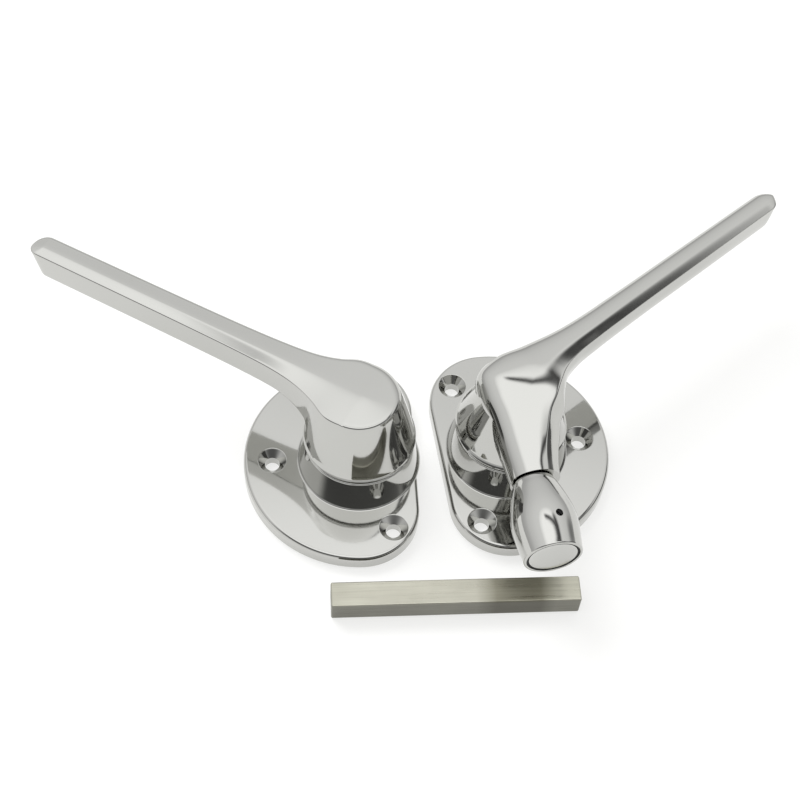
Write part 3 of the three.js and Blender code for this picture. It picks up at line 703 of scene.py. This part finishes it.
def inside_stations():
    """Stations from tip to seam: outer rail, inner rail, top, underside, edge's place, roundness."""
    tip_half = ARM_HALF_TIP
    return [
        ((ARM_LENGTH, ARM_OFFSET + tip_half), (ARM_LENGTH, ARM_OFFSET - tip_half), 41.0, 30.6, 0.985, 0.0),
        ((78.0, 7.4), (78.0, -1.8), 41.0, 30.6, 0.985, 0.0),
        ((44.0, 7.8), (44.0, -2.1), 41.0, 30.6, 0.985, 0.0),
        ((33.0, 8.1), (33.0, -2.4), 41.0, 30.5, 0.97, 0.0),
        ((23.0, 9.1), (23.5, -3.0), 41.0, 30.1, 0.95, 0.0),
        ((12.0, 11.5), (16.6, -5.0), 41.0, 28.8, 0.90, 0.02),
        ((3.0, 13.9), (12.4, -8.4), 40.9, 26.6, 0.84, 0.06),
        ((-4.6, 12.6), (9.2, -11.8), 40.3, 24.6, 0.77, 0.12),
        (from_horn(-1.2, -10.3), from_horn(9.6, 11.8), 39.1, 23.0, 0.7, 0.22),
        (from_horn(6.0, -9.0), from_horn(13.4, 10.8), 37.7, 21.8, 0.62, 0.34),
        (from_horn(12.4, -8.2), from_horn(17.2, 9.7), 36.2, 20.9, 0.55, 0.5),
        (from_horn(18.6, -7.5), from_horn(21.2, 8.9), 34.9, 20.3, 0.48, 0.66),
        (from_horn(HORN_END, -HORN_RADIUS), from_horn(HORN_END, HORN_RADIUS + HORN_STEP),
         33.9, 20.1, 0.42, 0.8),
    ]


def hermite(knots, values, at):
    """Smooth curve through values at uneven knots."""
    slopes = np.gradient(values, knots, axis=0)
    i = np.clip(np.searchsorted(knots, at, side="right") - 1, 0, len(knots) - 2)
    gap = (knots[i + 1] - knots[i])[:, None]
    t = ((at - knots[i]) / (knots[i + 1] - knots[i]))[:, None]
    return ((2 * t ** 3 - 3 * t ** 2 + 1) * values[i] + (t ** 3 - 2 * t ** 2 + t) * gap * slopes[i]
            + (3 * t ** 2 - 2 * t ** 3) * values[i + 1] + (t ** 3 - t ** 2) * gap * slopes[i + 1])


def bezier(a, b, c, d, low, high, steps):
    t = np.linspace(low, high, steps)[:, None]
    a, b, c, d = (np.asarray(q, float) for q in (a, b, c, d))
    return (1 - t) ** 3 * a + 3 * t * (1 - t) ** 2 * b + 3 * t ** 2 * (1 - t) * c + t ** 3 * d


def unit_section(edge, roundness, trim):
    """One closed section in the square from -1 to 1: crowned top, crisp inner edge, round at the seam."""
    def mix(square, circle):
        return square + (circle - square) * roundness
    circle = 0.5523
    crest = (mix(0.22, 0.0), 1.0)
    corner = (edge, mix(0.84, math.sqrt(1 - 0.35 ** 2)))
    right, foot, left = (1.0, 0.0), (0.0, -1.0), (-1.0, 0.0)
    run = edge - crest[0]
    top = bezier(crest, (crest[0] + 0.36 * run, 1.0), (crest[0] + 0.66 * run, 1 - 0.45 * (1 - corner[1])),
                 corner, 0, 1 - trim, 10)
    first = (edge + (1 - edge) * mix(0.33, 0.577), corner[1] * (1 - mix(0.33, 0.149)))
    wall = bezier(corner, first, (1.0, mix(0.3, 0.4)), right, trim, 1, 12)
    lip = bezier(top[-1], corner, corner, wall[0], 0, 1, 6)[1:-1]
    under = mix(0.9, circle)
    low_right = bezier(right, (1, -under), (under, -1), foot, 0, 1, 14)[1:]
    low_left = bezier(foot, (-under, -1), (-1, -under), left, 0, 1, 14)[1:]
    shoulder = mix(0.72 + 0.2 * float(ease(roundness, 0.0, 0.14)), circle)
    high_left = bezier(left, (-1, shoulder), (crest[0] - shoulder, 1), crest, 0, 1, 18)[1:-1]
    return np.concatenate([top, lip, wall, low_right, low_left, high_left])


def inside_loft():
    stations = inside_stations()
    values = np.array([[*a, *b, top, low, edge, roundness] for a, b, top, low, edge, roundness in stations])
    middle = (values[:, 0:2] + values[:, 2:4]) / 2
    knots = np.concatenate([[0], np.cumsum(np.hypot(*np.diff(middle, axis=0).T))])
    tip = TIP_ROUND * (1 - np.cos(np.linspace(0, math.pi / 2, 10)))
    straight = np.linspace(TIP_ROUND, knots[2], 40)[1:]
    at = np.concatenate([tip, straight, np.linspace(knots[2], knots[-1], 110)[1:]])
    rings = []
    for place, row in zip(at, hermite(knots, values, at)):
        a, b, top, low, edge, roundness = row[0:2], row[2:4], *row[4:8]
        near_tip = min(place / TIP_ROUND, 1.0)
        inset = TIP_ROUND * (1 - math.sqrt(1 - (1 - near_tip) ** 2))
        lift = 0.25 * inset
        half = (b - a) / 2 * (1 - inset / np.hypot(*((b - a) / 2)))
        centre = (a + b) / 2
        shape = unit_section(edge, max(roundness, 0.0), 0.12)
        plan = centre + shape[:, :1] * half
        top = min(top, TOP)
        height = (top + low) / 2 + shape[:, 1] * ((top - low) / 2 - lift)
        rings.append(np.column_stack([plan, height]))
    return ring_faces(rings, caps=True)


def hub_profile():
    """The inside lever's conical hub, up to where the head covers it."""
    heights = np.linspace(HUB_BOTTOM + FOOT, INSIDE_HUB_TOP, 40)
    rise = ((heights - heights[0]) / (heights[-1] - heights[0])) ** 1.1
    foot = drum_radius(heights[0])
    radii = [drum_radius(z) - INSIDE_HUB_DRAW * share for z, share in zip(heights, rise)]
    low = [(foot - FOOT * (1 - math.sin(a)), HUB_BOTTOM + FOOT * (1 - math.cos(a)))
           for a in np.radians(np.linspace(0, 75, 6))]
    return [(0, HUB_BOTTOM)] + low + list(zip(radii, heights)) + [(0, INSIDE_HUB_TOP)]


def inside_lever():
    turn, move = INSIDE_ARM_TURN, INSIDE_AXIS
    obj = make("inside_lever_polished", *slanted(inside_loft()), turn, move, sharp=50)
    obj = cut_out(obj, turned(hub_profile()), turn, move, "UNION")
    spigot = spigot_profile(INSIDE_SPIGOT_RADIUS, INSIDE_SPIGOT_BOTTOM, INSIDE_CLIP_Z, HUB_BOTTOM + PAST)
    obj = cut_out(obj, turned(spigot), turn, move, "UNION")
    obj = cut_out(obj, rod(SLEEVE_ROOM, -PAST, SLEEVE_ROOM_TOP, 96), turn, move)
    obj = cut_out(obj, square_hole(*INSIDE_SOCKET), turn, move)
    obj = cut_out(obj, side_hole(PIN_BORE, 0, PIN_BORE_END, HORN_TURN, LOCK_Z), turn, move)
    obj = cut_out(obj, side_hole(GUIDE_BORE, GUIDE_START, GUIDE_END, HORN_TURN, LOCK_Z), turn, move)
    obj = cut_out(obj, side_hole(GRUB_HOLE, 0, GRUB_HOLE_END, INSIDE_GRUB_TURN, INSIDE_GRUB_Z), turn, move)
    tidy(obj, 34)
    weighted(obj)
    return piece(obj, "inside_lever_body", POLISHED, "polished_steel", "inside_lever")


# ---------- lock ----------
CROSS_PIN_PLACE = 41.5             # along the barrel, from the spindle axis
CROSS_PIN_LEAN = 17.0              # degrees from straight up
CROSS_HOLE = 1.15                  # the pin's hole: radius, floor and outer end
CROSS_HOLE_FLOOR = 6.1
CROSS_HOLE_END = 12.0
POCKET_FLOOR = 44.4
POCKET_LIP = 0.15
SPRING_RADIUS = 3.2
SPRING_WIRE = 0.45
SPRING_START = 13.3                # ends of the return spring, from the spindle axis
SPRING_END = 21.8
SPRING_TURNS = 5


def on_lock_axis(name, shape, sharp=30.0):
    """An object made about Z, laid along the lock barrel's axis."""
    points, faces = shape
    return make(name, along_x(points, LOCK_Z), faces, LOCK_TURN, INSIDE_AXIS, sharp)


def lock_barrel():
    wall = BUTTON_POCKET_RADIUS
    start = arc(BARREL_START + BARREL_EDGE, BARREL_START_RADIUS - BARREL_EDGE, BARREL_EDGE, 180, 90, 4)
    end = arc(BARREL_END - BARREL_RIM, BARREL_END_RADIUS - BARREL_RIM, BARREL_RIM, 90, 0, 8)
    lip = arc(BARREL_END - POCKET_LIP, wall + POCKET_LIP, POCKET_LIP, 0, -90, 4)
    profile = [(GUIDE_BORE, BARREL_START)] + [(r, z) for z, r in start]
    length = BARREL_END - BARREL_START
    heights = np.linspace(BARREL_START + BARREL_EDGE, BARREL_END - BARREL_RIM, 16)[1:-1]
    knots = np.array([0.0, BARREL_WAIST[0], BARREL_BELLY[0], 1.0])
    radii = np.array([BARREL_START_RADIUS, BARREL_WAIST[1], BARREL_BELLY[1], BARREL_END_RADIUS])
    sides = hermite(knots, radii[:, None], (heights - BARREL_START) / length)[:, 0]
    profile += list(zip(sides, heights)) + [(r, z) for z, r in end] + [(r, z) for z, r in lip]
    profile += [(wall, POCKET_FLOOR), (GUIDE_BORE, POCKET_FLOOR)]
    obj = on_lock_axis("lock_barrel_polished", turned(profile))
    hole = side_hole(CROSS_HOLE, CROSS_HOLE_FLOOR, CROSS_HOLE_END, 0, 0)
    lean = math.radians(CROSS_PIN_LEAN)
    p = hole[0]
    up = np.stack([CROSS_PIN_PLACE + p[:, 2], p[:, 0] * math.sin(lean), p[:, 0] * math.cos(lean)], 1)
    side = np.stack([np.zeros(len(p)), p[:, 1] * math.cos(lean), -p[:, 1] * math.sin(lean)], 1)
    obj = boolean(obj, make("tool", (up + side) + [0, 0, LOCK_Z], hole[1], LOCK_TURN, INSIDE_AXIS))
    tidy(obj, 30)
    weighted(obj)
    return piece(obj, "inside_lever_body", POLISHED, "polished_steel", "lock_barrel")


def lock_button():
    bevel = 0.2
    face = 5.6                     # a ring of points that keeps the face flat
    back = BUTTON_END - BUTTON_THICKNESS
    front = arc(BUTTON_END - BUTTON_EDGE, BUTTON_RADIUS - BUTTON_EDGE, BUTTON_EDGE, 90, 0, 5)
    profile = [(0, back), (BUTTON_RADIUS - bevel, back), (BUTTON_RADIUS, back + bevel)]
    profile += [(r, z) for z, r in front] + [(face, BUTTON_END), (0, BUTTON_END)]
    obj = on_lock_axis("lock_button_satin", turned(profile, 128))
    return piece(obj, "lock_button_body", BUTTON, "brushed_steel", "lock_button")


def helix():
    """The return spring's wire, coiled about Z."""
    rings = []
    climb = SPRING_END - SPRING_START - 2 * SPRING_WIRE
    for t in np.linspace(0, 1, SPRING_TURNS * 24 + 1):
        a = 2 * math.pi * SPRING_TURNS * t
        out = np.array([math.cos(a), math.sin(a), 0.0])
        forward = 2 * math.pi * SPRING_TURNS * SPRING_RADIUS * np.array([-out[1], out[0], 0.0])
        forward[2] = climb
        side = np.cross(forward / np.linalg.norm(forward), out)
        centre = SPRING_RADIUS * out + np.array([0, 0, SPRING_START + SPRING_WIRE + climb * t])
        rings.append([centre + SPRING_WIRE * (math.cos(b) * out + math.sin(b) * side)
                      for b in np.radians(np.arange(0, 360, 30))])
    return ring_faces(rings, caps=True)


def lock_spring():
    """The return spring, coiled along the lock barrel's axis, on a mesh of its own."""
    obj = on_lock_axis("lock_spring_wire", helix(), sharp=60)
    piece(obj, "inside_lever_body", SPRING, "spring_steel", "lock_spring")
    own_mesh(obj)


# ---------- spindle ----------
def square_ring(along, inset):
    """Rounded square across the bar."""
    half = SPINDLE / 2 - inset - SPINDLE_CORNER
    ring = []
    for i, (sy, sz) in enumerate(((1, 1), (-1, 1), (-1, -1), (1, -1))):
        for y, z in arc(sy * half, sz * half, SPINDLE_CORNER, 90 * i, 90 * i + 90, 5):
            ring.append((along, y, z + SPINDLE / 2))
    return ring


def square_spindle():
    half = SPINDLE_LENGTH / 2
    even = half - 1                # the rings between the rounded ends are evenly spaced
    ends = [(half, 0.35), (half - 0.1, 0.16), (half - 0.35, 0.0)]
    rings = [square_ring(-x, inset) for x, inset in ends]
    rings += [square_ring(x, 0.0) for x in np.linspace(-even, even, 25)]
    rings += [square_ring(x, inset) for x, inset in reversed(ends)]
    obj = make("square_spindle_drawn", *ring_faces(rings, caps=True), SPINDLE_TURN, SPINDLE_PLACE, sharp=30)
    weighted(obj)
    return piece(obj, "roses_and_spindle", SPINDLE_STEEL, "brushed_steel", "square_spindle")


# ---------- build ----------
rose("outside_rose_polished", "roses_and_spindle", "outside_rose", OUTSIDE_ROSE_TURN, (0, 0), 0.0)
rose("inside_rose_polished", "roses_and_spindle", "inside_rose", INSIDE_ROSE_TURN, INSIDE_AXIS,
     INSIDE_BOSS_OFFSET)
outside_lever()
inside_lever()
lock_barrel()
lock_button()
lock_spring()
square_spindle()

CAD_LOOKS = {
    "outside_bush": BRASS, "inside_bush": BRASS, "inside_lock_sleeve": BRASS, "lock_pin": BRASS,
    "outside_thrust_washer": NYLON, "inside_thrust_washer": NYLON,
    "outside_wave_washer": SPRING, "inside_wave_washer": SPRING,
    "outside_circlip": BLACK, "inside_circlip": BLACK, "outside_grub_screw": BLACK,
    "inside_grub_screw": BLACK, "lock_barrel_cross_pin": BLACK, "lock_button_seal": RUBBER,
}
for node, look in CAD_LOOKS.items():
    dress(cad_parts[node], look)


# ---------- floor, light and camera ----------
def floor():
    size = 6.0
    level = -0.0004                # a hair under the pieces, so that no faces share a plane
    mesh = bpy.data.meshes.new("floor")
    corners = [(-size, -size, level), (size, -size, level), (size, size, level), (-size, size, level)]
    mesh.from_pydata(corners, [], [(0, 1, 2, 3)])
    obj = bpy.data.objects.new("floor", mesh)
    bpy.context.scene.collection.objects.link(obj)
    m = Nodes("white_paper")
    here = m.coords()
    m.link(m.ramp(m.noise(here, 3.0), (0.3, (0.3, 0.3, 0.3)), (0.7, (0.34, 0.34, 0.34))),
           m.shader.inputs["Base Color"])
    m.shader.inputs["Emission Color"].default_value = (1, 1, 0.985, 1)
    m.shader.inputs["Emission Strength"].default_value = 0.68
    m.shader.inputs["Roughness"].default_value = 0.9
    m.shader.inputs["Specular IOR Level"].default_value = 0.1
    dress(obj, m.material)


SKY_LEVELS = ((0.0, 0.6), (0.3, 0.85), (0.93, 1.07), (0.985, 1.55))    # height, brightness
FRONT = (0.25, -0.97, 0.0)         # the dark front of the room: its direction and brightness
FRONT_LEVEL = 0.13
SIDE_PATCH = ((0.95, 0.25, 0.2), 10, 24)      # a dark patch at one side
SIDE_LEVEL = 0.12
STREAKS = (                        # dark rails overhead: (direction, run, half width, length), brightness
    (((0.1, 0.31, 0.945), (1, 0, -0.1), 5, 21), 0.1),
    (((0.51, 0.22, 0.835), (0.6, -0.5, -0.2), 7.5, 24), 0.08),
)
KEY_LIGHT = ((-0.5, 0.5, 0.9), (0.02, 0.0, 0.0), (0.7, 0.5), 9.0)     # place, aim, size in metres, watts


def sky():
    """Studio surroundings by direction: a bright ceiling, a paler back wall and the dark room in front."""
    world = bpy.data.worlds.new("studio")
    bpy.context.scene.world = world
    world.use_nodes = True
    tree = world.node_tree
    background = tree.nodes["Background"]
    where = tree.nodes.new("ShaderNodeTexCoord").outputs["Generated"]

    def along(direction):
        dot = tree.nodes.new("ShaderNodeVectorMath")
        dot.operation = "DOT_PRODUCT"
        dot.inputs[1].default_value = direction
        tree.links.new(where, dot.inputs[0])
        return dot.outputs["Value"]

    def between(value, low, high):
        fade = tree.nodes.new("ShaderNodeMapRange")
        fade.interpolation_type = "SMOOTHSTEP"
        fade.inputs["From Min"].default_value = low
        fade.inputs["From Max"].default_value = high
        tree.links.new(value, fade.inputs["Value"])
        return fade.outputs["Result"]

    def patch(direction, inner, outer):
        """1 within inner degrees of a direction, 0 beyond outer degrees."""
        unit = Vector(direction).normalized()
        return between(along(unit), math.cos(math.radians(outer)), math.cos(math.radians(inner)))

    def streak(direction, run, width, length):
        """A long narrow patch that runs one way across the sky; its half width and length in degrees."""
        centre = Vector(direction).normalized()
        run = (Vector(run) - centre * centre.dot(Vector(run))).normalized()
        thin = between(absolute(along(centre.cross(run))), math.sin(math.radians(width)), 0.0)
        ends = patch(direction, 0.6 * length, length)
        return product(thin, ends)

    def front_wall(direction):
        """The unlit side of the room: a band of heights, wide across the front."""
        height = along((0, 0, 1))
        band = product(between(height, 0.22, 0.4), between(height, 0.86, 0.7))
        return product(band, between(along(direction), 0.05, 0.32))

    def product(a, b):
        node = tree.nodes.new("ShaderNodeMath")
        node.operation = "MULTIPLY"
        tree.links.new(a, node.inputs[0])
        tree.links.new(b, node.inputs[1])
        return node.outputs[0]

    def absolute(value):
        node = tree.nodes.new("ShaderNodeMath")
        node.operation = "ABSOLUTE"
        tree.links.new(value, node.inputs[0])
        return node.outputs[0]

    ramp = tree.nodes.new("ShaderNodeValToRGB")
    tree.links.new(between(along((0, 0, 1)), 0.0, 1.0), ramp.inputs["Fac"])
    for i, (place, level) in enumerate(SKY_LEVELS):
        stop = ramp.color_ramp.elements[i] if i < 2 else ramp.color_ramp.elements.new(place)
        stop.position = place
        stop.color = (level, level, level, 1)
    colour = ramp.outputs["Color"]
    layers = [(front_wall(FRONT), FRONT_LEVEL), (patch(*SIDE_PATCH), SIDE_LEVEL)]
    layers += [(streak(*where_it_runs), level) for where_it_runs, level in STREAKS]
    for mask, level in layers:
        mix = tree.nodes.new("ShaderNodeMix")
        mix.data_type = "RGBA"
        tree.links.new(mask, mix.inputs["Factor"])
        tree.links.new(colour, mix.inputs["A"])
        mix.inputs["B"].default_value = (level, level, level, 1)
        colour = mix.outputs["Result"]
    tree.links.new(colour, background.inputs["Color"])
    background.inputs["Strength"].default_value = 1.0


def area_light(name, place, aim, size, power):
    data = bpy.data.lights.new(name, "AREA")
    data.shape = "RECTANGLE"
    data.size, data.size_y = size
    data.energy = power
    obj = bpy.data.objects.new(name, data)
    bpy.context.scene.collection.objects.link(obj)
    obj.location = place
    obj.rotation_euler = (Vector(aim) - Vector(place)).to_track_quat("-Z", "Y").to_euler()
    obj.visible_glossy = False


AIM = Vector((11.3, 26.2, 0.0)) * MM
ELEVATION = 57.05
ROLL = 5.21
DISTANCE = 546.3 * MM
LENS = 76.5


def camera():
    data = bpy.data.cameras.new("camera")
    data.sensor_width = 36.0
    data.lens = LENS
    data.clip_start = 0.01
    obj = bpy.data.objects.new("camera", data)
    bpy.context.scene.collection.objects.link(obj)
    e = math.radians(ELEVATION)
    back = Vector((0, -math.cos(e), math.sin(e)))
    right = Vector((1, 0, 0))
    up = back.cross(right)
    a = math.radians(ROLL)
    x = right * math.cos(a) + up * math.sin(a)
    y = up * math.cos(a) - right * math.sin(a)
    place = AIM + back * DISTANCE
    obj.matrix_world = Matrix((
        (x.x, y.x, back.x, place.x), (x.y, y.y, back.y, place.y), (x.z, y.z, back.z, place.z), (0, 0, 0, 1),
    ))
    bpy.context.scene.camera = obj


floor()
sky()
area_light("key", *KEY_LIGHT)
camera()
bpy.context.scene.view_settings.view_transform = "Standard"
